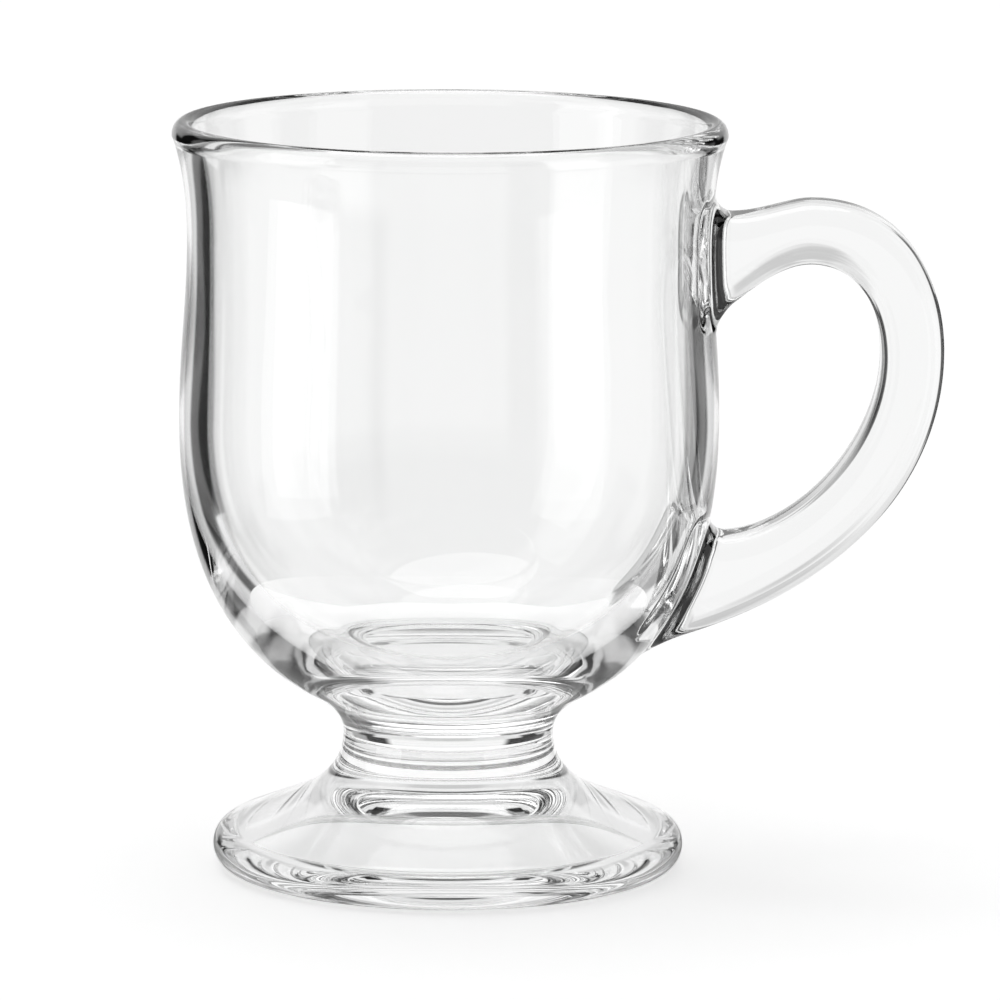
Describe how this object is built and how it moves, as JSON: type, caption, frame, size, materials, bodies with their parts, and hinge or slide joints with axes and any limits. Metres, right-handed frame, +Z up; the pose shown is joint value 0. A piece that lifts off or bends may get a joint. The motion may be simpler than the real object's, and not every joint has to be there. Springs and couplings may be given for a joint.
{
  "type": "footed glass mug",
  "caption": "Clear glass footed mug for hot or creamy drinks: round bowl with a flared rim, short waisted stem, round foot and a C-shaped side handle.",
  "frame": {"origin": "centre of the ring that the foot stands on, on the axis of the bowl", "axes": "+Z up along the axis of the bowl, +X towards the handle, +Y away from the viewer when the handle is on the right"},
  "size_m": [0.1122, 0.0808, 0.11],
  "materials": {
    "bowl_glass": "clear fire-polished glass",
    "stem_glass": "clear solid glass",
    "foot_glass": "clear pressed glass",
    "handle_glass": "clear pressed glass"
  },
  "bodies": {
    "root": {"bowl": "bowl_glass", "stem": "stem_glass", "foot": "foot_glass", "handle": "handle_glass"}
  },
  "joints": []
}
